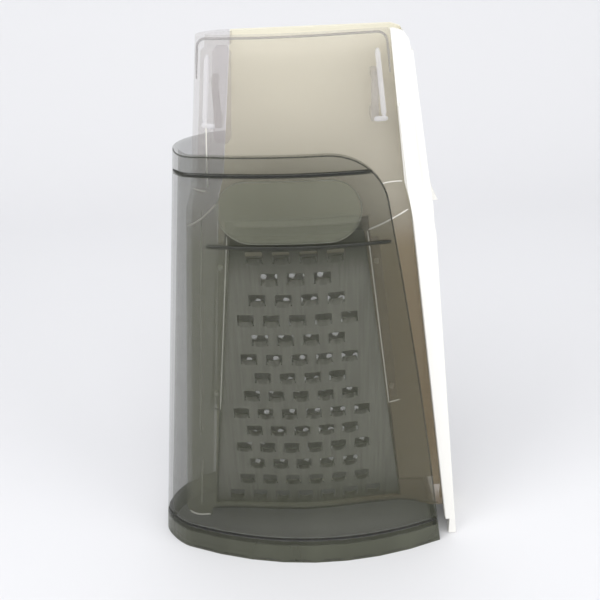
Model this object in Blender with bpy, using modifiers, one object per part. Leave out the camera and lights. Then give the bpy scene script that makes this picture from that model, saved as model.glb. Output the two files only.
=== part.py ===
"""Upright two-sided hand grater standing in a smoked catch container.

Metres, +Z up, the front faces -Y, the nose of the wedge is at -X and the white spine at +X.
"""
import math

import bmesh
import bpy
import numpy as np
from mathutils import Matrix, Vector

MM = 0.001
GAP = 0.3

# Catch container: a tapered sleeve, closed at the nose and floor, open at the top and right.
RIM_Z = 181.5
FLOOR_TOP, FLOOR_UNDER = 12.5, 10.5
SLEEVE_WALL = 2.0
CORNER_R = 22.0
CROWN_X = 5.0
REAR_R = 500.0

# Grater core: clear front shell, white rear frame, steel plates.
TOP_Z = 218.6
SHELL_WALL = 2.0
NECK_Z, SHOULDER_Z = 167.0, 158.0
WINDOW_TOP, WINDOW_BOTTOM = 153.5, 19.0
WINDOW_HALF = (24.6, 40.6)
FINE_HALF = (20.0, 33.5)
PLATE_X, TEETH_X = 0.0, -1.3
FINE_TOP = 130.0
PLATE_T = 0.6
ROW_COUNTS = (4, 3, 4, 5, 4, 5, 4, 5, 6, 5, 6, 5, 6, 7)
ROW_TOP, ROW_STEP, TOOTH_PITCH = 140.6, 9.0, 10.0
SPINE_WALL = 2.2

SMOKE = (0.10, 0.10, 0.09, 1.0)
CLEAR = (0.62, 0.60, 0.55, 1.0)
WHITE = (0.86, 0.85, 0.78, 1.0)
STEEL = (0.60, 0.60, 0.60, 1.0)


def ramp(z, *stops):
    """Piecewise linear value of z through (z, value) stops."""
    return float(np.interp(z, [s[0] for s in stops], [s[1] for s in stops]))


def clear_scene():
    for obj in list(bpy.data.objects):
        bpy.data.objects.remove(obj, do_unlink=True)


def material(name, colour, rough=0.4, metal=0.0):
    mat = bpy.data.materials.new(name)
    mat.use_nodes = True
    node = mat.node_tree.nodes["Principled BSDF"]
    node.inputs["Base Color"].default_value = colour
    node.inputs["Roughness"].default_value = rough
    node.inputs["Metallic"].default_value = metal
    return mat


def finish(obj, colour, rough=0.4, metal=0.0):
    obj.data.materials.clear()
    obj.data.materials.append(material(obj.name + "_mat", colour, rough, metal))
    return obj


def from_bmesh(name, bm):
    bmesh.ops.recalc_face_normals(bm, faces=bm.faces)
    mesh = bpy.data.meshes.new(name)
    bm.to_mesh(mesh)
    bm.free()
    obj = bpy.data.objects.new(name, mesh)
    bpy.context.scene.collection.objects.link(obj)
    return obj


def loft(name, sections):
    """Closed body through (z, [(x, y), ...]) loops of equal length, in millimetres."""
    bm = bmesh.new()
    rings = [[bm.verts.new((x * MM, y * MM, z * MM)) for x, y in loop] for z, loop in sections]
    count = len(rings[0])
    for low, high in zip(rings, rings[1:]):
        for i in range(count):
            j = (i + 1) % count
            bm.faces.new((low[i], low[j], high[j], high[i]))
    bm.faces.new(rings[0])
    bm.faces.new(rings[-1])
    bmesh.ops.triangulate(bm, faces=bm.faces)
    return from_bmesh(name, bm)


def prism(name, outline, y0, y1):
    """Body from an (x, z) outline carried from y0 to y1."""
    bm = bmesh.new()
    near = [bm.verts.new((x * MM, y0 * MM, z * MM)) for x, z in outline]
    far = [bm.verts.new((x * MM, y1 * MM, z * MM)) for x, z in outline]
    count = len(near)
    for i in range(count):
        j = (i + 1) % count
        bm.faces.new((near[i], near[j], far[j], far[i]))
    bm.faces.new(near)
    bm.faces.new(far)
    return from_bmesh(name, bm)


def box(name, x0, x1, y0, y1, z0, z1):
    return prism(name, [(x0, z0), (x1, z0), (x1, z1), (x0, z1)], y0, y1)


def cylinder(name, centre, radius, length, axis="Y", sides=20):
    turn = {"X": Matrix.Rotation(math.pi / 2, 4, "Y"), "Y": Matrix.Rotation(math.pi / 2, 4, "X"),
            "Z": Matrix.Identity(4)}[axis]
    bm = bmesh.new()
    bmesh.ops.create_cone(bm, cap_ends=True, segments=sides, radius1=radius * MM,
                          radius2=radius * MM, depth=length * MM,
                          matrix=Matrix.Translation(Vector(centre) * MM) @ turn)
    return from_bmesh(name, bm)


def apply_modifiers(obj):
    graph = bpy.context.evaluated_depsgraph_get()
    mesh = bpy.data.meshes.new_from_object(obj.evaluated_get(graph), depsgraph=graph)
    obj.modifiers.clear()
    obj.data = mesh
    return obj


def combine(obj, tool, operation):
    """Apply one exact Boolean and drop the tool."""
    mod = obj.modifiers.new(operation.title(), "BOOLEAN")
    mod.operation = operation
    mod.solver = "EXACT"
    mod.object = tool
    apply_modifiers(obj)
    bpy.data.objects.remove(tool, do_unlink=True)
    return obj


def cut(obj, tool):
    return combine(obj, tool, "DIFFERENCE")


def join(obj, tool):
    return combine(obj, tool, "UNION")


def soften(obj, width, segments=1, angle=40.0):
    mod = obj.modifiers.new("Bevel", "BEVEL")
    mod.width = width * MM
    mod.segments = segments
    mod.limit_method = "ANGLE"
    mod.angle_limit = math.radians(angle)
    return apply_modifiers(obj)


def merge_meshes(name, objects):
    """Gather separate tools into one object so one Boolean uses them all."""
    bm = bmesh.new()
    for obj in objects:
        bm.from_mesh(obj.data)
        bpy.data.objects.remove(obj, do_unlink=True)
    mesh = bpy.data.meshes.new(name)
    bm.to_mesh(mesh)
    bm.free()
    merged = bpy.data.objects.new(name, mesh)
    bpy.context.scene.collection.objects.link(merged)
    return merged


# ------------------------------------------------------------------ container sections

def nose_x(z):
    return -66.0 + 0.1317 * z


def sleeve_right(z):
    return 58.0 - 0.125 * z - 0.0002 * z * z


def front_sag(x, z):
    """How far the container's front wall has fallen back from its crown."""
    return (x - CROWN_X) ** 2 / (2 * ramp(z, (0, 140), (RIM_Z, 165)))


def sleeve_half(z):
    return ramp(z, (0, 26.7), (RIM_Z, 16.5))


def wrapped(right, nose, nose_len, rear_len, front, rear, steps=9, turns=8, rear_end=None):
    """Open path from the front right, round the nose, to the rear right."""
    start = nose + nose_len
    path = [(x, -front(x)) for x in np.linspace(right, start, steps)]
    for angle in np.linspace(0, math.pi / 2, turns + 1)[1:-1]:
        x = start - nose_len * math.sin(angle)
        path.append((x, -front(x) * math.cos(angle)))
    path.append((nose, 0.0))
    for angle in np.linspace(math.pi / 2, 0, turns + 1)[1:-1]:
        x = nose + rear_len * (1 - math.sin(angle))
        path.append((x, rear(x) * math.cos(angle)))
    start = nose + rear_len
    end = right if rear_end is None else rear_end
    path += [(x, rear(x)) for x in np.linspace(start, end, steps)]
    return path


def sleeve_path(z, inset, extra=0.0, raise_rear=0.0):
    half = sleeve_half(z) - inset
    length = ramp(z, (0, 12.0), (RIM_Z, 6.5)) - 0.4 * inset
    rear_len = ramp(z, (0, 24.0), (RIM_Z, 20.0)) - 0.6 * inset

    def front(x):
        return half - front_sag(x, z)

    def rear(x):
        return half + raise_rear - (x - CROWN_X) ** 2 / (2 * REAR_R)
    return wrapped(sleeve_right(z) + extra, nose_x(z) + inset, length, rear_len, front, rear)


def sleeve_band(z0, z1, x_left, x_right, proud):
    """Thin rib that follows the front wall between two heights."""
    sections = []
    for z in (z0, z1):
        outer = [p for p in sleeve_path(z, -proud) if p[1] < 0 and x_left <= p[0] <= x_right]
        half = sleeve_half(z)
        ends = [(x, -(half - front_sag(x, z))) for x in (x_right, x_left)]
        if x_left > nose_x(z) + 12:
            line = [(x, -(half + proud - front_sag(x, z)))
                    for x in np.linspace(x_right, x_left, 10)]
            back = [(x, y + proud + 0.8) for x, y in reversed(line)]
        else:
            line = [(x_right, ends[0][1] - proud)] + outer
            inner = [p for p in sleeve_path(z, 0.8) if p[1] < 0]
            back = inner[-(len(outer)):][::-1] + [(x_right, ends[0][1] + 0.8)]
        sections.append((z, line + back))
    return loft("rib", sections)


def stadium(cx, cz, width, height, turns=14):
    radius = height / 2
    points = []
    for side, centre in ((1, cx + width / 2 - radius), (-1, cx - width / 2 + radius)):
        for a in np.linspace(-math.pi / 2, math.pi / 2, turns):
            points.append((centre + side * radius * math.cos(a), cz + side * radius * math.sin(a)))
    return points


def catch_container():
    body = loft("catch_container", [(z, sleeve_path(z, 0)) for z in (0.0, 45.0, 90.0, 135.0, RIM_Z)])
    badge = loft("badge", [(z, sleeve_path(z, -0.7)) for z in (145.0, 178.0)])
    badge = combine(badge, prism("oval", stadium(-2.5, 162.0, 50, 22.5), -40, -6), "INTERSECT")
    body = join(body, badge)
    body = join(body, sleeve_band(174.4, 175.8, nose_x(175) + 1.0, 26.0, 0.9))
    body = join(body, sleeve_band(148.3, 149.7, -32.5, 33.0, 0.9))
    inner = loft("inner", [(z, sleeve_path(z, SLEEVE_WALL, 14)) 
                            for z in (FLOOR_TOP, 45.0, 90.0, 135.0, RIM_Z, RIM_Z + 3)])
    body = cut(body, inner)
    skirt = loft("skirt", [(z, sleeve_path(z, 2.4, -2.4)) for z in (-2.0, FLOOR_UNDER)])
    body = cut(body, skirt)
    centre_z = RIM_Z - CORNER_R
    lean = math.atan(0.125 + 0.0004 * centre_z)
    centre_x = sleeve_right(centre_z) - CORNER_R / math.cos(lean)
    arc = [(centre_x + CORNER_R * math.sin(a), centre_z + CORNER_R * math.cos(a))
           for a in np.linspace(0, math.pi / 2 - lean, 13)]
    corner = prism("corner", arc + [(60, arc[-1][1]), (60, RIM_Z + 8), (arc[0][0], RIM_Z + 8)], -40, 40)
    body = cut(body, corner)
    return finish(body, SMOKE, 0.25)


# ------------------------------------------------------------------ core sections

def shell_left(z):
    return ramp(z, (13, -55.5), (SHOULDER_Z, -40.0), (NECK_Z, -37.2), (TOP_Z, -30.4))


def shell_right(z):
    return ramp(z, (0, 61.4), (SHOULDER_Z, 40.6), (NECK_Z, 38.2), (TOP_Z, 32.3))


def panel_left(z):
    return shell_left(z) + 11.2


def spine_right(z):
    return ramp(z, (0, 66.0), (130, 52.6), (150, 50.0), (200, 42.0), (TOP_Z, 39.0))


def front_half(z):
    return ramp(z, (0, 11.2), (SHOULDER_Z, 11.2), (NECK_Z, 9.8), (TOP_Z, 7.6))


def rear_half(z):
    return ramp(z, (0, 11.0), (SHOULDER_Z, 11.0), (TOP_Z, 6.6))


def crown(x):
    """How far the front falls back from its crown at this x."""
    return 1.45 * (1 - math.cos(math.pi * min(abs(x) / 40.0, 1.0)))


def flare(x, z):
    """The front steps forward beside the spine, more towards the base, to meet the container."""
    t = min(max((x - 43.5) / 11.0, 0.0), 1.0)
    return ramp(z, (0, 3.9), (SHOULDER_Z, 0.0)) * t * t * (3 - 2 * t)


def shell_loop(z, wall):
    left, right, end = shell_left(z), shell_right(z), panel_left(z) - GAP
    front, rear, length = front_half(z), rear_half(z), 8.0
    outer = wrapped(right, left, length, 10.5, lambda x: front - crown(x) + flare(x, z),
                    lambda x: rear, steps=19, rear_end=end)
    inner = wrapped(right, left + wall, length - 0.6, 8.7, lambda x: front - wall - crown(x) + flare(x, z),
                    lambda x: rear - wall, steps=19, rear_end=end)
    return outer + inner[::-1]


def window_outline(top_half, bottom_half, top=WINDOW_TOP, radius=6.0):
    centre = PLATE_X
    arch = [(centre + side * (top_half - radius + radius * math.sin(a)),
             top - radius + radius * math.cos(a))
            for side, span in ((-1, np.linspace(math.pi / 2, 0, 6)), (1, np.linspace(0, math.pi / 2, 6)))
            for a in span]
    return arch + [(centre + bottom_half, WINDOW_BOTTOM), (centre - bottom_half, WINDOW_BOTTOM)]


def front_shell():
    levels = (13.0, 60.0, 105.0, SHOULDER_Z, NECK_Z, 213.6, 214.6, TOP_Z)
    shell = loft("front_shell", [(z, shell_loop(z, SHELL_WALL if z < 214 else 3.2)) for z in levels])
    shell = cut(shell, prism("window", window_outline(*WINDOW_HALF), -30, -1))
    shell = cut(shell, box("heel", -43.5, 70, -30, -1, 0, 17.0))
    return finish(shell, CLEAR, 0.3)


def spine_lip(z):
    return -(front_half(z) - 2.9) - ramp(z, (0, 3.9), (SHOULDER_Z, 0.0))


def front_strip():
    """Raised strip down the front of the spine: narrow at the top, flared to full width lower down."""
    sections = []
    for z, back in ((0.6, 0.2), (148.0, 0.2), (153.0, 0.5), (164.0, 3.2), (193.5, 3.0), (195.2, 3.6)):
        x0, x1, y = shell_right(z) + GAP + 0.2, spine_right(z) - back, spine_lip(z)
        x0 += 0.7 if z > 194 else 0.0
        sections.append((z, [(x0, y - 1.1), (x1, y - 1.1), (x1, y + 0.6), (x0, y + 0.6)]))
    return loft("strip", sections)


def rear_frame():
    sections = []
    for z in (0.0, SHOULDER_Z, NECK_Z, 200.0, TOP_Z):
        left, inner, right = panel_left(z), shell_right(z) + GAP, spine_right(z)
        lip = spine_lip(z)
        rear, thin = rear_half(z), SHELL_WALL
        xs = np.linspace(left, right, 8)
        loop = [(x, rear) for x in xs] + [(right, lip), (inner, lip), (inner, lip + thin),
                                          (right - SPINE_WALL, lip + thin),
                                          (right - SPINE_WALL, rear - thin)]
        loop += [(x, rear - thin) for x in xs[::-1][2:]]
        sections.append((z, loop))
    frame = loft("rear_frame", sections)
    frame = join(frame, front_strip())
    frame = cut(frame, box("heel", -80, 59.0, -30, 30, -5, 14.0))
    frame = cut(frame, box("foot_step", 50, 62.4, -30, 30, -5, 9.0))
    frame = cut(frame, prism("fine_window", window_outline(*FINE_HALF, FINE_TOP), 1, 30))
    top = [(34.0, TOP_Z + 3), (34.0, TOP_Z), (37.0, TOP_Z - 1.0), (38.6, TOP_Z - 3.2), (39.6, TOP_Z - 7),
           (46, TOP_Z - 7), (46, TOP_Z + 3)]
    frame = cut(frame, prism("top_corner", top, -30, 30))
    frame = cut(frame, lever_slot())
    frame = join(frame, pin_lugs())
    frame = cut(frame, cylinder("pin_bore", (PIN_X, PIN_MID, PIN_Z), 1.25, 12.8, "Y", 16))
    return finish(frame, WHITE, 0.45)


# ------------------------------------------------------------------ plates

def plate_y(x):
    """Outer face of the coarse plate, just behind the front wall."""
    return -(11.2 - SHELL_WALL - GAP - crown(x))


def plate_half(z, top_half, bottom_half):
    return ramp(z, (WINDOW_BOTTOM, bottom_half), (WINDOW_TOP, top_half))


def plate_blank(name, top_half, bottom_half, face, back, columns, top=WINDOW_TOP):
    """Thin trapezoid sheet through two lofted sections."""
    sections = []
    for z in (WINDOW_BOTTOM - 2.5, top + 3.0):
        half = plate_half(z, top_half, bottom_half) + 4.5
        xs = np.linspace(PLATE_X - half, PLATE_X + half, columns)
        sections.append((z, [(x, face(x)) for x in xs] + [(x, back(x)) for x in xs[::-1]]))
    return loft(name, sections)


def tooth_positions():
    for row, count in enumerate(ROW_COUNTS):
        z = ROW_TOP - ROW_STEP * row
        for k in range(count):
            yield TEETH_X + (k - (count - 1) / 2) * TOOTH_PITCH, z


def coarse_plate():
    plate = plate_blank("coarse_plate", *WINDOW_HALF, plate_y, lambda x: plate_y(x) + PLATE_T, 19)
    holes, lips = [], []
    for x, z in tooth_positions():
        y = plate_y(x)
        holes.append(box("hole", x - 3.0, x + 3.0, y - 3, y + 3, z - 1.6, z + 1.4))
        outline = [(y + 0.3, z - 4.6), (y - 1.3, z - 1.5), (y - 1.3, z - 0.7), (y + 0.3, z - 1.9)]
        bm = bmesh.new()
        left = [bm.verts.new(((x - 2.6) * MM, a * MM, b * MM)) for a, b in outline]
        right = [bm.verts.new(((x + 2.6) * MM, a * MM, b * MM)) for a, b in outline]
        for i in range(4):
            j = (i + 1) % 4
            bm.faces.new((left[i], left[j], right[j], right[i]))
        bm.faces.new(left)
        bm.faces.new(right)
        lips.append(from_bmesh("lip", bm))
    plate = cut(plate, merge_meshes("holes", holes))
    plate = join(plate, merge_meshes("lips", lips))
    for x, z in stake_points(*WINDOW_HALF):
        plate = cut(plate, cylinder("stake_hole", (x, plate_y(x), z), 1.3, 4, "Y", 12))
    return finish(plate, STEEL, 0.35, 1.0)


def fine_plate():
    outer = 11.0 - SHELL_WALL - GAP
    plate = plate_blank("fine_plate", *FINE_HALF, lambda x: outer - PLATE_T, lambda x: outer, 2,
                        FINE_TOP)
    holes = []
    for row in range(13):
        z = 124.5 - 7.9 * row
        half = plate_half(z, *FINE_HALF) - 4.0
        count = int(2 * half / 7.0) + (row % 2)
        for k in range(count):
            x = PLATE_X + (k - (count - 1) / 2) * 7.0
            holes.append(cylinder("hole", (x, outer, z), 1.2, 4, "Y", 6))
    plate = cut(plate, merge_meshes("holes", holes))
    for x, z in stake_points(*FINE_HALF, FINE_STAKE_UP):
        plate = cut(plate, cylinder("stake_hole", (x, outer, z), 1.3, 4, "Y", 12))
    return finish(plate, STEEL, 0.35, 1.0)


# ------------------------------------------------------------------ rails and stakes

RAIL_TOP, RAIL_LOW = 145.0, 72.0
STAKE_UP, STAKE_DOWN = 136.0, 78.0
FINE_STAKE_UP = 122.0


def stake_points(top_half, bottom_half, up=STAKE_UP):
    for side in (-1, 1):
        for z in (up, STAKE_DOWN):
            yield PLATE_X + side * (plate_half(z, top_half, bottom_half) + 2.4), z


def rail(name, side, top_half, bottom_half, near, far, top=RAIL_TOP, up=STAKE_UP):
    """Straight strip that clamps one edge of a plate; near and far give its two faces at x."""
    sections = []
    for z in (RAIL_LOW, top):
        half = plate_half(z, top_half, bottom_half)
        x0, x1 = sorted((PLATE_X + side * (half + 0.4), PLATE_X + side * (half + 4.4)))
        sections.append((z, [(x0, near(x0)), (x1, near(x1)), (x1, far(x1)), (x0, far(x0))]))
    strip = soften(loft(name, sections), 0.4)
    for x, z in stake_points(top_half, bottom_half, up):
        if (x - PLATE_X) * side > 0:
            strip = cut(strip, cylinder("bore", (x, near(x), z), 1.3, 14, "Y", 12))
    return finish(strip, CLEAR, 0.3)


def coarse_rail(name, side):
    return rail(name, side, *WINDOW_HALF, lambda x: plate_y(x) + PLATE_T + GAP,
                lambda x: plate_y(x) + PLATE_T + GAP + 2.4)


def fine_rail(name, side):
    inner = 11.0 - SHELL_WALL - 2 * GAP - PLATE_T
    return rail(name, side, *FINE_HALF, lambda x: inner, lambda x: inner - 2.4,
                FINE_TOP - 2.0, FINE_STAKE_UP)


def stake(name, x, z, tip, seat, towards):
    """Plain shank with a domed head; the shank runs from the plate side to the head."""
    radius, head_r, head_h = 0.95, 1.9, 1.1
    profile = [(0.0, 0.0), (radius, 0.0), (radius, abs(seat - tip)), (head_r, abs(seat - tip)),
               (head_r * 0.8, abs(seat - tip) + head_h * 0.7), (0.0, abs(seat - tip) + head_h)]
    bm = bmesh.new()
    verts = [bm.verts.new((r * MM, 0, h * MM)) for r, h in profile]
    edges = [bm.edges.new(pair) for pair in zip(verts, verts[1:])]
    bmesh.ops.spin(bm, geom=verts + edges, cent=(0, 0, 0), axis=(0, 0, 1), angle=2 * math.pi, steps=14,
                   use_merge=True)
    bmesh.ops.remove_doubles(bm, verts=bm.verts, dist=1e-6)
    turn = Matrix.Rotation(math.radians(-90 * towards), 4, "X")
    bmesh.ops.transform(bm, verts=bm.verts, matrix=Matrix.Translation((x * MM, tip * MM, z * MM)) @ turn)
    return finish(from_bmesh(name, bm), WHITE, 0.4)


def stakes():
    names = ("lower_left", "upper_left", "lower_right", "upper_right")
    made = []
    order = {(-1, False): 0, (-1, True): 1, (1, False): 2, (1, True): 3}
    for x, z in stake_points(*WINDOW_HALF):
        label = names[order[(1 if x > PLATE_X else -1, z > 100)]]
        seat = plate_y(x) + PLATE_T + GAP + 2.4 + GAP
        made.append(stake("coarse_stake_" + label, x, z, plate_y(x) + 0.05, seat, 1))
    for x, z in stake_points(*FINE_HALF, FINE_STAKE_UP):
        label = names[order[(1 if x > PLATE_X else -1, z > 100)]]
        inner = 11.0 - SHELL_WALL - 2 * GAP - PLATE_T
        made.append(stake("fine_stake_" + label, x, z, 11.0 - SHELL_WALL - GAP - 0.05,
                          inner - 2.4 - GAP, -1))
    return made


# ------------------------------------------------------------------ clips and lever

def corner_clip(name, x0, x1, front, rear):
    outline = [(front, 188.0), (rear, 188.0), (rear, 191.5), (front + 2.2, 193.5), (front + 2.2, 201.5),
               (rear, 202.5), (rear, 205.0), (front, 205.0)]
    bm = bmesh.new()
    left = [bm.verts.new((x0 * MM, a * MM, b * MM)) for a, b in outline]
    right = [bm.verts.new((x1 * MM, a * MM, b * MM)) for a, b in outline]
    for i in range(len(outline)):
        j = (i + 1) % len(outline)
        bm.faces.new((left[i], left[j], right[j], right[i]))
    bm.faces.new(left)
    bm.faces.new(right)
    return finish(soften(from_bmesh(name, bm), 0.3), CLEAR, 0.3)


PIN_Z = 190.0
PIN_X = spine_right(PIN_Z) - 4.6
LEVER_LOW, LEVER_HIGH = 158.0, 196.0
LEVER_HALF = 3.6
LEVER_MID = 1.2
PIN_MID = 1.4


def lever_slot():
    outline = [(spine_right(z) + dx, z) for z, dx in
               ((LEVER_LOW - 1.5, 6), (LEVER_HIGH + 0.6, 6), (LEVER_HIGH + 0.6, -3), (LEVER_LOW - 1.5, -3))]
    return prism("slot", outline, LEVER_MID - LEVER_HALF - 0.6, LEVER_MID + LEVER_HALF + 0.6)


def pin_lugs():
    lip = spine_lip(PIN_Z)
    front = cylinder("lug", (PIN_X, lip + 1.5, PIN_Z), 2.4, 2.6, "Y", 16)
    rear = cylinder("lug", (PIN_X, rear_half(PIN_Z) - 1.6, PIN_Z), 2.4, 2.6, "Y", 16)
    return merge_meshes("lugs", [front, rear])


def release_lever():
    outer = [(spine_right(LEVER_HIGH), LEVER_HIGH), (spine_right(175), 175), (spine_right(164) + 0.8, 164),
             (spine_right(LEVER_LOW) + 2.6, LEVER_LOW)]
    inner = [(x - 1.9, z) for x, z in outer[::-1]]
    lever = prism("release_lever", outer + inner, LEVER_MID - LEVER_HALF, LEVER_MID + LEVER_HALF)
    for y in (LEVER_MID - LEVER_HALF + 0.6, LEVER_MID + LEVER_HALF - 0.6):
        ear = prism("ear", [(PIN_X - 2.0, PIN_Z - 2), (PIN_X + 4.0, PIN_Z - 3.0), (PIN_X + 4.0, PIN_Z + 3.0),
                            (PIN_X - 2.0, PIN_Z + 2)], y - 0.6, y + 0.6)
        lever = join(lever, ear)
    lever = cut(lever, cylinder("bore", (PIN_X, 0, PIN_Z), 1.25, 30, "Y", 16))
    return finish(lever, WHITE, 0.4)


def lever_pin():
    return finish(cylinder("lever_pin", (PIN_X, PIN_MID, PIN_Z), 1.0, 12.2, "Y", 16), STEEL, 0.3, 1.0)


def lever_spring():
    turns, radius, wire, pitch = 3.5, 1.75, 0.25, 0.95
    steps, ring = int(turns * 14), 6
    bm = bmesh.new()
    rings = []
    y0 = LEVER_MID - turns * pitch / 2
    for i in range(steps + 1):
        t = 2 * math.pi * turns * i / steps
        centre = Vector((PIN_X + radius * math.cos(t), y0 + pitch * t / (2 * math.pi),
                         PIN_Z + radius * math.sin(t)))
        out = Vector((math.cos(t), 0, math.sin(t)))
        rings.append([bm.verts.new((centre + wire * (out * math.cos(a) + Vector((0, 1, 0)) * math.sin(a))) * MM)
                      for a in np.linspace(0, 2 * math.pi, ring, endpoint=False)])
    for low, high in zip(rings, rings[1:]):
        for i in range(ring):
            j = (i + 1) % ring
            bm.faces.new((low[i], low[j], high[j], high[i]))
    bm.faces.new(rings[0])
    bm.faces.new(rings[-1])
    return finish(from_bmesh("lever_spring", bm), STEEL, 0.3, 1.0)


def main():
    clear_scene()
    catch_container()
    front_shell()
    rear_frame()
    coarse_plate()
    fine_plate()
    coarse_rail("coarse_rail_left", -1)
    coarse_rail("coarse_rail_right", 1)
    fine_rail("fine_rail_left", -1)
    fine_rail("fine_rail_right", 1)
    stakes()
    corner_clip("corner_clip_left", -26.4, -24.0, -2.9, 3.9)
    corner_clip("corner_clip_right", 27.0, 29.6, -2.9, 4.6)
    release_lever()
    lever_pin()
    lever_spring()


main()
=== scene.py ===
"""Looks for the upright hand grater: clear and white core with steel plates in a smoked container."""

import math

import bmesh
import bpy
import numpy as np
from mathutils import Matrix, Vector


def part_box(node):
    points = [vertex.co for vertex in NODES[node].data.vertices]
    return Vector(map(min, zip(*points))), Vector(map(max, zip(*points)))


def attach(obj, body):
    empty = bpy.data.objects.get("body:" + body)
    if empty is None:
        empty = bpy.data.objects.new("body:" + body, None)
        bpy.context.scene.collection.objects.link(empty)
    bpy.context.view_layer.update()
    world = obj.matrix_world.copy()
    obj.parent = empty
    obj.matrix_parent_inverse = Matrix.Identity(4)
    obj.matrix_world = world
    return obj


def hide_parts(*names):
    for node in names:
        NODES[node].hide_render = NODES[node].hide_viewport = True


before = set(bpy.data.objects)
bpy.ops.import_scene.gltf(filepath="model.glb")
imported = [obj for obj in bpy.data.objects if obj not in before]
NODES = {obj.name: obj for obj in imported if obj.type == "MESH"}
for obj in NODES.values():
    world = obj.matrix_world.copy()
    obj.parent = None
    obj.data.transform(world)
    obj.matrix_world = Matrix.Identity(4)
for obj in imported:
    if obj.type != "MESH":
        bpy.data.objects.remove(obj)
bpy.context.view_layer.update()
MM = 0.001


# ------------------------------------------------------------------ materials

def new_material(name, colour, rough, metal=0.0, alpha=1.0, ior=1.5):
    mat = bpy.data.materials.new(name)
    mat.use_nodes = True
    shader = mat.node_tree.nodes["Principled BSDF"]
    shader.inputs["Base Color"].default_value = (*colour, 1.0)
    shader.inputs["Roughness"].default_value = rough
    shader.inputs["Metallic"].default_value = metal
    shader.inputs["Alpha"].default_value = alpha
    shader.inputs["IOR"].default_value = ior
    return mat, mat.node_tree.nodes, mat.node_tree.links, shader


def noise(nodes, links, scale, detail=4.0, stretch=(1.0, 1.0, 1.0)):
    """Object-space noise in the piece's own metres."""
    where = nodes.new("ShaderNodeTexCoord")
    turn = nodes.new("ShaderNodeMapping")
    turn.inputs["Scale"].default_value = stretch
    grain = nodes.new("ShaderNodeTexNoise")
    grain.inputs["Scale"].default_value = scale
    grain.inputs["Detail"].default_value = detail
    links.new(where.outputs["Object"], turn.inputs["Vector"])
    links.new(turn.outputs["Vector"], grain.inputs["Vector"])
    return grain.outputs["Fac"]


def spread(nodes, links, fac, low, high):
    """Map a 0.35 to 0.65 noise range onto low to high."""
    node = nodes.new("ShaderNodeMapRange")
    node.inputs["From Min"].default_value = 0.35
    node.inputs["From Max"].default_value = 0.65
    node.inputs["To Min"].default_value = low
    node.inputs["To Max"].default_value = high
    links.new(fac, node.inputs["Value"])
    return node.outputs["Result"]


def two_tone(nodes, links, fac, a, b, socket):
    mix = nodes.new("ShaderNodeMix")
    mix.data_type = "RGBA"
    mix.inputs["A"].default_value = (*a, 1.0)
    mix.inputs["B"].default_value = (*b, 1.0)
    links.new(fac, mix.inputs["Factor"])
    links.new(mix.outputs["Result"], socket)


def bump(nodes, links, fac, strength, distance, shader):
    node = nodes.new("ShaderNodeBump")
    node.inputs["Strength"].default_value = strength
    node.inputs["Distance"].default_value = distance
    links.new(fac, node.inputs["Height"])
    links.new(node.outputs["Normal"], shader.inputs["Normal"])


def smoked_plastic(name="smoked_plastic", dark=(0.052, 0.055, 0.034), light=(0.080, 0.084, 0.056), alpha=0.27,
                   base_alpha=None):
    mat, nodes, links, shader = new_material(name, dark, 0.12, alpha=alpha)
    flow = noise(nodes, links, 30.0, 3.0, (1.0, 1.0, 0.3))
    two_tone(nodes, links, spread(nodes, links, flow, 0.0, 1.0), dark, light, shader.inputs["Base Color"])
    scuffs = noise(nodes, links, 600.0, 6.0, (1.0, 1.0, 0.2))
    links.new(spread(nodes, links, scuffs, 0.08, 0.22), shader.inputs["Roughness"])
    if base_alpha is not None:
        links.new(by_height(nodes, links, 0.0094, 0.0106, base_alpha, alpha), shader.inputs["Alpha"])
    return mat


def by_place(nodes, links, axis, low, high, at_low, at_high):
    """Value that runs from at_low to at_high as the piece's own coordinate goes from low to high, in metres."""
    where = nodes.new("ShaderNodeTexCoord")
    split = nodes.new("ShaderNodeSeparateXYZ")
    node = nodes.new("ShaderNodeMapRange")
    node.interpolation_type = "SMOOTHSTEP"
    node.inputs["From Min"].default_value = low
    node.inputs["From Max"].default_value = high
    node.inputs["To Min"].default_value = at_low
    node.inputs["To Max"].default_value = at_high
    links.new(where.outputs["Object"], split.inputs["Vector"])
    links.new(split.outputs[axis], node.inputs["Value"])
    return node.outputs["Result"]


def by_height(nodes, links, low, high, at_low, at_high):
    """The same, up the piece."""
    return by_place(nodes, links, "Z", low, high, at_low, at_high)


def clear_plastic(name="clear_plastic", tint=(0.40, 0.37, 0.30), alpha=0.20):
    mat, nodes, links, shader = new_material(name, tint, 0.1, alpha=alpha)
    scuffs = noise(nodes, links, 500.0, 6.0, (1.0, 1.0, 0.25))
    links.new(spread(nodes, links, scuffs, 0.06, 0.22), shader.inputs["Roughness"])
    flow = noise(nodes, links, 25.0, 3.0)
    deeper = tuple(c * 0.85 for c in tint)
    two_tone(nodes, links, spread(nodes, links, flow, 0.0, 1.0), deeper, tint, shader.inputs["Base Color"])
    return mat


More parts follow.
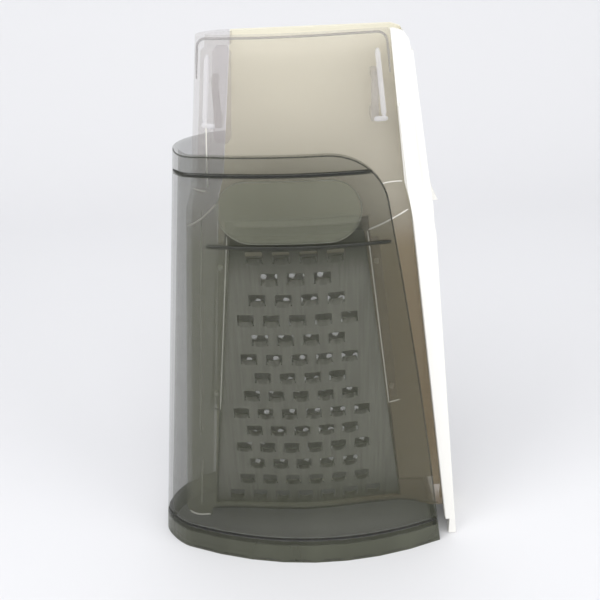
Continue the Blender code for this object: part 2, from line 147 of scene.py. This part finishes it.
def shell_plastic():
    """Clear at the neck; below the shoulder painted darker and more opaque, turning brown towards the spine:
    painted shade for the shadowed inside seen through the shell.
    """
    mat, nodes, links, shader = new_material("clear_shell", (0.40, 0.37, 0.30), 0.1, alpha=0.2)
    scuffs = noise(nodes, links, 500.0, 6.0, (1.0, 1.0, 0.25))
    links.new(spread(nodes, links, scuffs, 0.06, 0.22), shader.inputs["Roughness"])
    # Painted shade: the body's colour turns brown towards the spine, where the inside lies in shadow.
    side = by_place(nodes, links, "X", -0.005, 0.040, 0.0, 1.0)
    body = nodes.new("ShaderNodeMix")
    body.data_type = "RGBA"
    body.inputs["A"].default_value = (0.30, 0.30, 0.225, 1.0)
    body.inputs["B"].default_value = (0.25, 0.185, 0.105, 1.0)
    links.new(side, body.inputs["Factor"])
    whole = nodes.new("ShaderNodeMix")
    whole.data_type = "RGBA"
    whole.inputs["B"].default_value = (0.44, 0.40, 0.37, 1.0)
    links.new(body.outputs["Result"], whole.inputs["A"])
    # Painted shade: below the shoulder the colour darkens and the alpha rises, while the neck above stays
    # clear.
    links.new(by_height(nodes, links, 0.140, 0.164, 0.0, 1.0), whole.inputs["Factor"])
    links.new(whole.outputs["Result"], shader.inputs["Base Color"])
    links.new(by_height(nodes, links, 0.140, 0.164, 0.38, 0.17), shader.inputs["Alpha"])
    return mat


def white_plastic():
    """Off-white moulding, painted darker and creamier towards the rear panel: partly yellowed plastic, partly
    painted shade for the panel lying in shadow inside the shell.
    """
    mat, nodes, links, shader = new_material("white_plastic", (0.86, 0.84, 0.76), 0.4)
    mottle = noise(nodes, links, 18.0, 3.0)
    # Yellowing mixed with painted shade: darker, creamier colour towards the rear.
    tint = by_place(nodes, links, "Y", 0.0, 0.006, 0.0, 1.0)
    mix = nodes.new("ShaderNodeMix")
    mix.data_type = "RGBA"
    mix.inputs["A"].default_value = (0.86, 0.85, 0.81, 1.0)
    mix.inputs["B"].default_value = (0.80, 0.76, 0.60, 1.0)
    links.new(tint, mix.inputs["Factor"])
    links.new(mix.outputs["Result"], shader.inputs["Base Color"])
    grain = noise(nodes, links, 2500.0, 2.0)
    bump(nodes, links, grain, 0.12, 0.00005, shader)
    links.new(spread(nodes, links, mottle, 0.36, 0.48), shader.inputs["Roughness"])
    return mat


def steel(name="brushed_steel", low=(0.28, 0.28, 0.24), high=(0.37, 0.366, 0.32), painted_top_shade=None):
    mat, nodes, links, shader = new_material(name, high, 0.35, metal=1.0)
    brush = noise(nodes, links, 900.0, 3.0, (1.0, 1.0, 0.04))
    links.new(spread(nodes, links, brush, 0.28, 0.46), shader.inputs["Roughness"])
    fac = spread(nodes, links, brush, 0.0, 1.0)
    if painted_top_shade is None:
        two_tone(nodes, links, fac, low, high, shader.inputs["Base Color"])
    else:
        # Painted shade: towards its top the plate's colour runs into a dark colour, standing in for shade under
        # the window's ledge.
        body = nodes.new("ShaderNodeMix")
        body.data_type = "RGBA"
        links.new(by_height(nodes, links, 0.128, 0.146, 0.0, 1.0), body.inputs["Factor"])
        two_tone(nodes, links, fac, low, high, body.inputs["A"])
        body.inputs["B"].default_value = (*painted_top_shade, 1.0)
        links.new(body.outputs["Result"], shader.inputs["Base Color"])
    bump(nodes, links, brush, 0.08, 0.00005, shader)
    return mat


SMOKE, CLEAR, WHITE, STEEL = smoked_plastic(base_alpha=0.90), shell_plastic(), white_plastic(), steel()
CLEAR_THICK = clear_plastic("clear_plastic_thick", (0.70, 0.68, 0.66), 0.34)
DARK_SMOKE = smoked_plastic("smoked_plastic_edge", (0.006, 0.006, 0.005), (0.012, 0.012, 0.010), 0.93)
# Pale smoke for the badge outline: a painted highlight along the raised edge.
GLINT_SMOKE = smoked_plastic("smoked_plastic_glint", (0.17, 0.175, 0.135), (0.22, 0.225, 0.18), 0.60)
BADGE = smoked_plastic("smoked_plastic_badge", (0.21, 0.215, 0.155), (0.24, 0.245, 0.18), 0.26)
# Light band for the ledge's top: a painted highlight where light falls on it.
LIT_LEDGE = clear_plastic("clear_plastic_lit_ledge", (0.42, 0.41, 0.34), 0.75)
GLINT = clear_plastic("clear_plastic_glint", (0.95, 0.93, 0.86), 0.75)
SOFT_EDGE = clear_plastic("clear_plastic_edge", (0.06, 0.06, 0.048), 0.6)
# Pale lines of painted highlight down the shell's left side.
PALE_GLINT = clear_plastic("clear_plastic_pale_glint", (0.62, 0.61, 0.55), 0.45)
# Dark strips of painted shade: under the window's ledge and along the shell's front bottom edge.
SHADE_EDGE = clear_plastic("clear_plastic_painted_shade", (0.02, 0.02, 0.016), 0.85)
RIM_EDGE = clear_plastic("clear_plastic_rim", (0.36, 0.35, 0.34), 0.42)
# Wide pale band for the left neck: a painted reflection on the rounded corner.
NECK_REFLECTION = clear_plastic("clear_plastic_reflection", (0.46, 0.42, 0.42), 0.18)
# Pale bands of painted highlight on the neck's rounded corners.
COLUMN_HIGHLIGHT = clear_plastic("clear_plastic_column_highlight", (0.88, 0.87, 0.89), 0.36)
EDGE_SMOKE = smoked_plastic("smoked_plastic_rim", (0.035, 0.036, 0.027), (0.055, 0.057, 0.042), 0.62)
# Rear plate steel painted brighter than the front plate: painted highlight for the lit points seen through the
# coarse holes.
LIT_STEEL = steel("lit_steel", (0.55, 0.545, 0.52), (0.66, 0.65, 0.62))
# Front plate steel with painted shade darkening its top under the ledge.
PLATE_STEEL = steel("plate_steel", painted_top_shade=(0.08, 0.08, 0.066))


def paint(obj, mat):
    obj.data.materials.clear()
    obj.data.materials.append(mat)


def paint_cad():
    for name, node in NODES.items():
        if name == "catch_container":
            paint(node, SMOKE)
        elif name == "front_shell":
            paint(node, CLEAR)
        elif "rail" in name or "clip" in name:
            paint(node, CLEAR_THICK)
        elif name in ("coarse_plate", "fine_plate", "lever_pin", "lever_spring"):
            paint(node, STEEL)
        else:
            paint(node, WHITE)


# ------------------------------------------------------------------ mesh helpers

def link(name, bm, smooth_angle=35.0):
    bmesh.ops.recalc_face_normals(bm, faces=bm.faces)
    mesh = bpy.data.meshes.new(name)
    bm.to_mesh(mesh)
    bm.free()
    mesh.polygons.foreach_set("use_smooth", [True] * len(mesh.polygons))
    mesh.set_sharp_from_angle(angle=math.radians(smooth_angle))
    obj = bpy.data.objects.new(name, mesh)
    bpy.context.scene.collection.objects.link(obj)
    return obj


def ramp(z, *stops):
    return float(np.interp(z, [s[0] for s in stops], [s[1] for s in stops]))


def apply_modifiers(obj):
    graph = bpy.context.evaluated_depsgraph_get()
    mesh = bpy.data.meshes.new_from_object(obj.evaluated_get(graph), depsgraph=graph)
    obj.modifiers.clear()
    obj.data = mesh
    return obj


def tube(name, points, radius, sides=8, flat=1.0):
    """Closed bar of round or flattened section through points, in millimetres."""
    bm = bmesh.new()
    pts = [Vector(p) for p in points]
    rings = []
    for i, p in enumerate(pts):
        along = (pts[min(i + 1, len(pts) - 1)] - pts[max(i - 1, 0)]).normalized()
        side = along.cross(Vector((0, 0, 1)))
        side = side.normalized() if side.length > 0.2 else Vector((0, -1, 0))
        up = side.cross(along).normalized()
        taper = 0.55 if i in (0, len(pts) - 1) else 1.0
        rings.append([bm.verts.new((p + taper * radius * (side * math.cos(a) * flat + up * math.sin(a))) * MM)
                      for a in np.linspace(0, 2 * math.pi, sides, endpoint=False)])
    for low, high in zip(rings, rings[1:]):
        for i in range(sides):
            j = (i + 1) % sides
            bm.faces.new((low[i], low[j], high[j], high[i]))
    bm.faces.new(rings[0])
    bm.faces.new(rings[-1])
    return link(name, bm)


# ------------------------------------------------------------------ container trim

RIM_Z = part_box("catch_container")[1].z / MM
CROWN_X = 5.0
CORNER_R = 22.0
EDGE_LINE_R = 0.26


def nose_x(z):
    return -66.0 + 0.1317 * z


def sleeve_right(z):
    """Where the container ends beside the spine."""
    return 58.0 - 0.125 * z - 0.0002 * z * z


def wall_y(x, z, out=0.0):
    """Outer face of the container's front wall."""
    half = ramp(z, (0, 26.7), (RIM_Z, 16.5)) + out
    radius = ramp(z, (0, 140), (RIM_Z, 165))
    nose, length = nose_x(z) - out, ramp(z, (0, 12.0), (RIM_Z, 6.5)) + 0.4 * out
    y = half - (x - CROWN_X) ** 2 / (2 * radius)
    if x < nose + length:
        y *= math.sqrt(max(0.0, 1 - ((nose + length - x) / length) ** 2))
    return -y


def rib(name, z, x_left, x_right, height):
    points = [(x, wall_y(x, z, 0.25), z) for x in np.linspace(x_left, x_right, 40)]
    bar = tube(name, points, height / 2, 10, 0.9)
    paint(bar, DARK_SMOKE)
    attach(bar, "container")


BADGE_X, BADGE_Z, BADGE_HALF, BADGE_R = -2.5, 162.0, 25.0, 11.25


def badge_ring():
    """Raised outline of the blank oval badge, painted pale as a painted highlight along its edge."""
    cx, cz, half_w, r = BADGE_X, BADGE_Z, BADGE_HALF, BADGE_R
    loop = []
    for side, start in ((1, -math.pi / 2), (-1, math.pi / 2)):
        for a in np.linspace(start, start + math.pi, 20):
            x = cx + side * (half_w - r) + r * math.cos(a)
            loop.append((x, cz + r * math.sin(a)))
    flat = []
    for (x0, z0), (x1, z1) in zip(loop, loop[1:] + loop[:1]):
        steps = max(1, int(math.hypot(x1 - x0, z1 - z0) / 2.0))
        flat += [(x0 + (x1 - x0) * k / steps, z0 + (z1 - z0) * k / steps) for k in range(steps)]
    bm = bmesh.new()
    rings = []
    for i, (x, z) in enumerate(flat):
        (xa, za), (xb, zb) = flat[i - 1], flat[(i + 1) % len(flat)]
        along = Vector((xb - xa, 0, zb - za)).normalized()
        out = Vector((along.z, 0, -along.x))
        centre = Vector((x, wall_y(x, z, 0.65), z))
        rings.append([bm.verts.new((centre + 0.24 * (out * math.cos(t) + Vector((0, 1, 0)) * math.sin(t))) * MM)
                      for t in np.linspace(0, 2 * math.pi, 6, endpoint=False)])
    for low, high in zip(rings, rings[1:] + rings[:1]):
        for i in range(6):
            j = (i + 1) % 6
            bm.faces.new((low[i], low[j], high[j], high[i]))
    ring = link("badge_outline", bm)
    paint(ring, GLINT_SMOKE)
    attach(ring, "container")


def badge_face():
    """Blank lens inside the outline, following the wall."""
    cx, cz, half_w, r = BADGE_X, BADGE_Z, BADGE_HALF - 0.4, BADGE_R - 0.4
    bm = bmesh.new()
    columns = np.linspace(-half_w, half_w, 40)
    grid = []
    for u in columns:
        reach = r if abs(u) <= half_w - r else math.sqrt(max(0.02, r * r - (abs(u) - half_w + r) ** 2))
        grid.append([(cx + u, cz + reach * v) for v in np.linspace(-1, 1, 9)])
    layers = []
    for out in (0.78, 0.72):
        layers.append([[bm.verts.new((x * MM, wall_y(x, z, out) * MM, z * MM)) for x, z in column]
                       for column in grid])
    for layer in layers:
        for a, b in zip(layer, layer[1:]):
            for k in range(8):
                bm.faces.new((a[k], a[k + 1], b[k + 1], b[k]))
    outer, inner = layers
    rim_o = [c[0] for c in outer] + outer[-1][1:] + [c[-1] for c in outer[-2::-1]] + outer[0][-2:0:-1]
    rim_i = [c[0] for c in inner] + inner[-1][1:] + [c[-1] for c in inner[-2::-1]] + inner[0][-2:0:-1]
    for k in range(len(rim_o)):
        j = (k + 1) % len(rim_o)
        bm.faces.new((rim_o[k], rim_o[j], rim_i[j], rim_i[k]))
    face = link("badge_face", bm)
    paint(face, BADGE)
    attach(face, "container")


# ------------------------------------------------------------------ plates

ROWS = (4, 3, 4, 5, 4, 5, 4, 5, 6, 5, 6, 5, 6, 7)
ROW_TOP, ROW_STEP, PITCH = 140.6, 9.0, 10.0
PLATE_X, TEETH_X = 0.0, -1.3
WINDOW_TOP, WINDOW_LOW = 153.5, 19.0
WINDOW_HALF = (24.6, 40.6)
SHEET = 0.6
RAIL_LOW = 72.0


def crown(x):
    return 1.45 * (1 - math.cos(math.pi * min(abs(x) / 40.0, 1.0)))


def coarse_y(x):
    return -(11.2 - 2.0 - 0.3 - crown(x))


def half_width(z, top, low):
    return ramp(z, (WINDOW_LOW, low), (WINDOW_TOP, top))


def curved_sheet(name, top_half, low_half, z0, z1, face, back, columns):
    bm = bmesh.new()
    rings = []
    for z in (z0, z1):
        half = half_width(z, top_half, low_half)
        xs = np.linspace(PLATE_X - half, PLATE_X + half, columns)
        loop = [(x, face(x)) for x in xs] + [(x, back(x)) for x in xs[::-1]]
        rings.append([bm.verts.new((x * MM, y * MM, z * MM)) for x, y in loop])
    count = len(rings[0])
    for i in range(count):
        j = (i + 1) % count
        bm.faces.new((rings[0][i], rings[0][j], rings[1][j], rings[1][i]))
    bm.faces.new(rings[0])
    bm.faces.new(rings[1])
    bmesh.ops.triangulate(bm, faces=bm.faces)
    return link(name, bm)


def cutter(name, bm):
    tool = link(name, bm)
    tool.hide_render = True
    return tool


def subtract(obj, tool):
    mod = obj.modifiers.new("Holes", "BOOLEAN")
    mod.operation = "DIFFERENCE"
    mod.solver = "EXACT"
    mod.object = tool
    apply_modifiers(obj)
    bpy.data.objects.remove(tool, do_unlink=True)


def tooth_places():
    for row, count in enumerate(ROWS):
        for k in range(count):
            yield TEETH_X + (k - (count - 1) / 2) * PITCH, ROW_TOP - ROW_STEP * row


def coarse_teeth(bm):
    """Arched tongues, each punched out of the sheet with its cutting edge facing up."""
    across, up = 9, 6
    for x0, z0 in tooth_places():
        grid = []
        for j in range(up + 1):
            v = j / up
            row = []
            for i in range(across + 1):
                u = -1 + 2 * i / across
                lift = 1.75 * (1 - u * u) ** 0.8 * v ** 1.25
                x = x0 + 2.55 * u
                z = z0 - 3.9 + 4.3 * v - 0.7 * u * u * v
                y = coarse_y(x) + 0.12 - lift
                row.append((x, y, z))
            grid.append(row)
        front = [[bm.verts.new(Vector(p) * MM) for p in row] for row in grid]
        rear = [[bm.verts.new((Vector(p) + Vector((0, 0.42, 0))) * MM) for p in row] for row in grid]
        for layer in (front, rear):
            for a, b in zip(layer, layer[1:]):
                for i in range(across):
                    bm.faces.new((a[i], a[i + 1], b[i + 1], b[i]))
        edge_f = front[0] + [r[-1] for r in front[1:]] + front[-1][-2::-1] + [r[0] for r in front[-2:0:-1]]
        edge_r = rear[0] + [r[-1] for r in rear[1:]] + rear[-1][-2::-1] + [r[0] for r in rear[-2:0:-1]]
        for i in range(len(edge_f)):
            j = (i + 1) % len(edge_f)
            bm.faces.new((edge_f[i], edge_f[j], edge_r[j], edge_r[i]))


def coarse_plate():
    plate = curved_sheet("coarse_plate_sheet", WINDOW_HALF[0] + 1.1, WINDOW_HALF[1] + 1.1, WINDOW_LOW - 1.5,
                         WINDOW_TOP + 1.2, coarse_y, lambda x: coarse_y(x) + SHEET, 31)
    bm = bmesh.new()
    for x, z in tooth_places():
        y = coarse_y(x)
        outline = [(-3.2, -2.6), (-2.75, -2.6), (-2.75, -1.2), (2.75, -1.2), (2.75, -2.6), (3.2, -2.6),
                   (3.2, 1.9), (2.9, 2.2), (-2.9, 2.2), (-3.2, 1.9)]
        near = [bm.verts.new(((x + a) * MM, (y - 2) * MM, (z + b) * MM)) for a, b in outline]
        far = [bm.verts.new(((x + a) * MM, (y + 3) * MM, (z + b) * MM)) for a, b in outline]
        for i in range(len(outline)):
            j = (i + 1) % len(outline)
            bm.faces.new((near[i], near[j], far[j], far[i]))
        bm.faces.new(near)
        bm.faces.new(far)
    subtract(plate, cutter("tooth_holes", bm))
    teeth = bmesh.new()
    teeth.from_mesh(plate.data)
    coarse_teeth(teeth)
    bpy.data.objects.remove(plate, do_unlink=True)
    plate = link("coarse_plate_toothed", teeth, 50)
    paint(plate, PLATE_STEEL)
    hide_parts("coarse_plate")
    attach(plate, "core")


def fine_plate():
    """Rear plate with a crown of points round every small hole."""
    low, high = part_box("fine_plate")
    outer = high.y / MM
    plate = curved_sheet("fine_plate_sheet", 24.0, 37.0, low.z / MM, high.z / MM, lambda x: outer - SHEET,
                         lambda x: outer, 2)
    holes, points = bmesh.new(), []
    for row in range(18):
        z = high.z / MM - 9.0 - 5.6 * row
        half = half_width(z, 20.0, 33.5) - 4.0
        count = int(2 * half / 5.6) + row % 2
        for k in range(count):
            points.append((PLATE_X + (k - (count - 1) / 2) * 5.6, z))
    for x, z in points:
        bmesh.ops.create_cone(holes, cap_ends=True, segments=8, radius1=1.25 * MM, radius2=1.25 * MM,
                              depth=4 * MM, matrix=Matrix.Translation((x * MM, outer * MM, z * MM))
                              @ Matrix.Rotation(math.pi / 2, 4, "X"))
    subtract(plate, cutter("fine_holes", holes))
    bm = bmesh.new()
    bm.from_mesh(plate.data)
    for x, z in points:
        for a in np.linspace(0, 2 * math.pi, 4, endpoint=False) + 0.4:
            base = []
            for da, r in ((-0.5, 1.28), (0.5, 1.28), (0.0, 1.7)):
                base.append(bm.verts.new(((x + r * math.cos(a + da)) * MM, (outer - 0.05) * MM,
                                          (z + r * math.sin(a + da)) * MM)))
            tip = bm.verts.new(((x + 1.5 * math.cos(a)) * MM, (outer + 1.1) * MM, (z + 1.5 * math.sin(a)) * MM))
            bm.faces.new(base)
            for i in range(3):
                bm.faces.new((base[i], base[(i + 1) % 3], tip))
            inward = bm.verts.new(((x + 1.35 * math.cos(a)) * MM, (outer - 1.3) * MM,
                                   (z + 1.35 * math.sin(a)) * MM))
            for i in range(3):
                bm.faces.new((base[(i + 1) % 3], base[i], inward))
    bpy.data.objects.remove(plate, do_unlink=True)
    plate = link("fine_plate_spiked", bm, 30)
    # Brighter steel here is a painted highlight for the lit points seen through the front plate's holes.
    paint(plate, LIT_STEEL)
    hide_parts("fine_plate")
    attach(plate, "core")


# ------------------------------------------------------------------ shell trim

def shell_left(z):
    return ramp(z, (13, -55.5), (158, -40.0), (167, -37.2), (218.6, -30.4))


def shell_y(x, z, proud=0.0):
    half = ramp(z, (0, 11.2), (158, 11.2), (167, 9.8), (218.6, 7.6)) + proud
    start = shell_left(z) + 8.0
    y = half - crown(x)
    if x < start:
        y *= math.sqrt(max(0.0, 1 - ((start - x) / 8.0) ** 2))
    return -y


def strip(name, points, radius, mat, flat=1.0, sides=8):
    bar = tube(name, points, radius, sides, flat)
    paint(bar, mat)
    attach(bar, "core")
    return bar


def window_lip():
    """Rounded ledge over the plate, painted light as a painted highlight, with a strip of painted shade under
    it, and the lines down its two sides: painted highlights above the rail's end, dark lines below.
    """
    z = WINDOW_TOP + 1.6
    # The ledge is painted light: a painted highlight on its top.
    strip("window_top_ledge", [(x, shell_y(x, z, -0.35), z) for x in np.linspace(-22.5, 22.5, 30)], 1.5,
          LIT_LEDGE, 0.35, 10)
    # A dark strip of painted shade in the recess under the ledge.
    strip("window_top_shade", [(x, shell_y(x, z - 3.4, -0.9), z - 3.4) for x in np.linspace(-23.6, 23.6, 30)],
          1.7, SHADE_EDGE, 0.3, 10)
    for side, label in ((-1, "left"), (1, "right")):
        for part, top, low, radius, mat in (("", 150.0, RAIL_LOW, 0.24, GLINT),
                                            ("_lower", RAIL_LOW - 1.0, 20.0, 0.26, SOFT_EDGE)):
            points = []
            for zz in np.linspace(top, low, 24):
                x = PLATE_X + side * (half_width(zz, *WINDOW_HALF) + 0.3)
                points.append((x, shell_y(x, zz, 0.05), zz))
            strip("window_edge_" + label + part, points, radius, mat)
        x = PLATE_X + side * (half_width(RAIL_LOW, *WINDOW_HALF) + 0.3)
        points = [(x + side * 4.6 * t, shell_y(x + side * 4.6 * t, RAIL_LOW, 0.05), RAIL_LOW + 1.2 * t)
                  for t in np.linspace(0, 1, 6)]
        strip("rail_end_" + label, points, 0.26, GLINT if side > 0 else SOFT_EDGE)


def slant(name, start, end, bow, radius, mat, proud=0.1):
    """Moulded edge across the shell's face from one (x, z) to another."""
    points = []
    for t in np.linspace(0, 1, 14):
        x = start[0] + (end[0] - start[0]) * t
        z = start[1] + (end[1] - start[1]) * t + bow * math.sin(math.pi * t)
        points.append((x, shell_y(x, z, proud), z))
    strip(name, points, radius, mat)


def shell_edges():
    """Edge lines of the clear shell, mostly painted highlights and a painted reflection, with a strip of
    painted shade along the front bottom edge and the rolled rim round the neck.
    """
    slant("shoulder_edge_left", (-36.0, 167.0), (-31.0, 167.0), 0.0, 0.25, GLINT)
    slant("shoulder_edge_right", (30.0, 167.0), (37.6, 167.6), 0.3, 0.25, GLINT)
    slant("gusset_edge_right", (25.6, 150.5), (39.8, 157.5), -0.6, 0.32, GLINT)
    slant("gusset_edge_left", (-39.4, 153.0), (-28.0, 162.5), -0.5, 0.30, GLINT, -0.2)
    # A dark strip of painted shade along the shell's front bottom edge.
    heel = [(x, shell_y(x, 17.6, 0.1) - max(0.0, x - 43.5) * 0.22, 17.6) for x in np.linspace(-42.5, 57.0, 44)]
    strip("front_bottom_edge", heel, 0.55, SHADE_EDGE, 0.6)
    nose = [(x, shell_y(x, 13.5, 0.0), 13.5) for x in np.linspace(-53.5, -44.0, 12)]
    strip("nose_bottom_edge", nose, 0.4, GLINT)
    neck_rim()
    # The neck columns and their feet are painted highlights on the rounded corners.
    for side, label, x_top, x_low in ((-1, "left", -26.6, -29.4), (1, "right", 28.4, 31.0)):
        upright("neck_column_" + label, x_top, x_low, 213.0, 190.5, 0.9, COLUMN_HIGHLIGHT, -0.1)
        foot = [(x_low + side * u, shell_y(x_low + side * u, 190.0, 0.0), 190.0)
                for u in np.linspace(-3.4, 1.2, 8)]
        strip("neck_column_foot_" + label, foot, 0.9, COLUMN_HIGHLIGHT, 0.4, 10)
    # A wide band of painted reflection on the neck's left corner.
    upright("neck_reflection_left", -21.5, -24.0, 216.0, 184.0, 3.2, NECK_REFLECTION, -0.3)
    upright("side_glint_upper", -29.0, -30.6, 191.0, 168.5, 0.22, GLINT, 0.0)
    upright("side_glint_lower", -33.5, -44.0, 160.0, 60.0, 0.24, PALE_GLINT, 0.0)
    upright("side_glint_low", -44.6, -47.6, 46.0, 19.5, 0.24, PALE_GLINT, 0.0)


def upright(name, x_top, x_low, z_top, z_low, half, mat, proud):
    """Flat upright band lying in the shell's face."""
    points = []
    for t in np.linspace(0, 1, 16):
        x, z = x_top + (x_low - x_top) * t, z_top + (z_low - z_top) * t
        points.append((x, shell_y(x, z, proud), z))
    strip(name, points, half, mat, 0.3, 10)


def neck_rim():
    """Thin rolled edge round the top of the neck with rounded corners."""
    corner, top = 3.4, 218.0
    left, right = -29.9, 31.7
    flat = [(left - 1.1, 205.0), (left - 0.5, 211.0)]
    flat += [(left + corner - corner * math.cos(a), top - corner + corner * math.sin(a)) for a in
             np.linspace(0, math.pi / 2, 8)]
    flat += [(x, top) for x in np.linspace(left + corner + 3, right - corner - 3, 16)]
    flat += [(right - corner + corner * math.sin(a), top - corner + corner * math.cos(a)) for a in
             np.linspace(0, math.pi / 2, 8)]
    flat += [(right + 0.5, 211.0), (right + 1.1, 205.0)]
    strip("neck_rim_roll", [(x, shell_y(x, z, -0.2), z) for x, z in flat], 0.42, RIM_EDGE, 0.8, 8)


def container_edges():
    """Dark edge lines of the container's rim, corner, open side and floor seam."""
    centre_z = RIM_Z - CORNER_R
    lean = math.atan(0.125 + 0.0004 * centre_z)
    centre_x = sleeve_right(centre_z) - CORNER_R / math.cos(lean)
    xs = list(nose_x(RIM_Z) + 6.5 * (1 - np.cos(np.linspace(0.25, math.pi / 2, 8))))
    xs += list(np.linspace(-34, centre_x, 14))
    path = [(x, wall_y(x, RIM_Z - 0.3, -0.2), RIM_Z - 0.3) for x in xs]
    for a in np.linspace(0, math.pi / 2 - lean, 12)[1:]:
        x, z = centre_x + (CORNER_R - 0.3) * math.sin(a), centre_z + (CORNER_R - 0.3) * math.cos(a)
        path.append((x, wall_y(x, z, -0.2), z))
    for z in np.linspace(path[-1][2] - 8.0, 1.0, 16):
        x = sleeve_right(z) - 0.4
        path.append((x, wall_y(x, z, -0.3), z))
    edge = tube("container_edge_line", path, EDGE_LINE_R, 8)
    paint(edge, EDGE_SMOKE)
    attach(edge, "container")
    for name, z, radius, right in (("floor_seam", 13.2, 0.5, 55.6), ("skirt_foot_line", 1.2, 0.6, 56.8)):
        xs = list(nose_x(z) + 11.5 * (1 - np.cos(np.linspace(0.34, math.pi / 2, 9))))
        xs += list(np.linspace(-51.0, right, 30))
        seam = tube(name, [(x, wall_y(x, z, (0.2 if z > 5 else 0.0) - radius), z) for x in xs], radius, 8)
        paint(seam, DARK_SMOKE if z > 5 else EDGE_SMOKE)
        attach(seam, "container")


# ------------------------------------------------------------------ stage

CAMERA_AT = (0.0, -0.261, 0.268)
CAMERA_PITCH, CAMERA_ROLL = math.radians(30.0), math.radians(-2.5)
LENS = 46.3


def camera():
    data = bpy.data.cameras.new("camera")
    data.lens, data.sensor_width = LENS, 36.0
    data.clip_start = 0.01
    cam = bpy.data.objects.new("camera", data)
    bpy.context.scene.collection.objects.link(cam)
    turn = Matrix.Rotation(math.radians(90) - CAMERA_PITCH, 4, "X") @ Matrix.Rotation(CAMERA_ROLL, 4, "Z")
    cam.matrix_world = Matrix.Translation(CAMERA_AT) @ turn
    bpy.context.scene.camera = cam


def backdrop():
    """Pale floor that curves up into a wall behind the object."""
    profile = [(-1.5, 0.0), (0.35, 0.0)]
    profile += [(0.35 + 0.25 * math.sin(a), 0.25 - 0.25 * math.cos(a))
                for a in np.linspace(0, math.pi / 2, 14)[1:]]
    profile.append((0.60, 1.6))
    bm = bmesh.new()
    rows = [[bm.verts.new((x, y, z)) for y, z in profile] for x in (-2.0, 2.0)]
    for i in range(len(profile) - 1):
        bm.faces.new((rows[0][i], rows[1][i], rows[1][i + 1], rows[0][i + 1]))
    mesh = bpy.data.meshes.new("backdrop")
    bm.to_mesh(mesh)
    bm.free()
    mesh.polygons.foreach_set("use_smooth", [True] * len(mesh.polygons))
    obj = bpy.data.objects.new("backdrop", mesh)
    bpy.context.scene.collection.objects.link(obj)
    mat, _, _, _ = new_material("pale_floor", (0.76, 0.76, 0.775), 0.8)
    obj.data.materials.append(mat)


def area_light(name, at, aim, size, power, colour=(1.0, 1.0, 1.0)):
    data = bpy.data.lights.new(name, "AREA")
    data.shape = "RECTANGLE"
    data.size, data.size_y = size
    data.energy = power
    data.color = colour
    obj = bpy.data.objects.new(name, data)
    bpy.context.scene.collection.objects.link(obj)
    obj.location = at
    obj.rotation_euler = (Vector(aim) - Vector(at)).to_track_quat("-Z", "Y").to_euler()


def lights():
    world = bpy.data.worlds.new("studio")
    bpy.context.scene.world = world
    world.use_nodes = True
    back = world.node_tree.nodes["Background"]
    back.inputs["Color"].default_value = (0.97, 0.98, 1.0, 1.0)
    back.inputs["Strength"].default_value = 0.66
    area_light("key", (-0.7, -0.5, 0.9), (0, 0, 0.1), (0.6, 0.6), 5.0)
    area_light("fill", (0.8, -0.5, 0.6), (0, 0, 0.1), (0.6, 0.6), 3.4)
    area_light("front_top", (0.0, -0.7, 0.9), (0, 0, 0.12), (0.8, 0.4), 3.6)
    bpy.context.scene.view_settings.view_transform = "Standard"


def main():
    camera()
    paint_cad()
    rib("upper_rib", 175.1, nose_x(175.1) + 1.2, 26.0, 1.5)
    rib("lower_rib", 149.0, -32.5, 33.0, 1.4)
    badge_ring()
    badge_face()
    coarse_plate()
    fine_plate()
    window_lip()
    shell_edges()
    container_edges()
    backdrop()
    lights()


main()
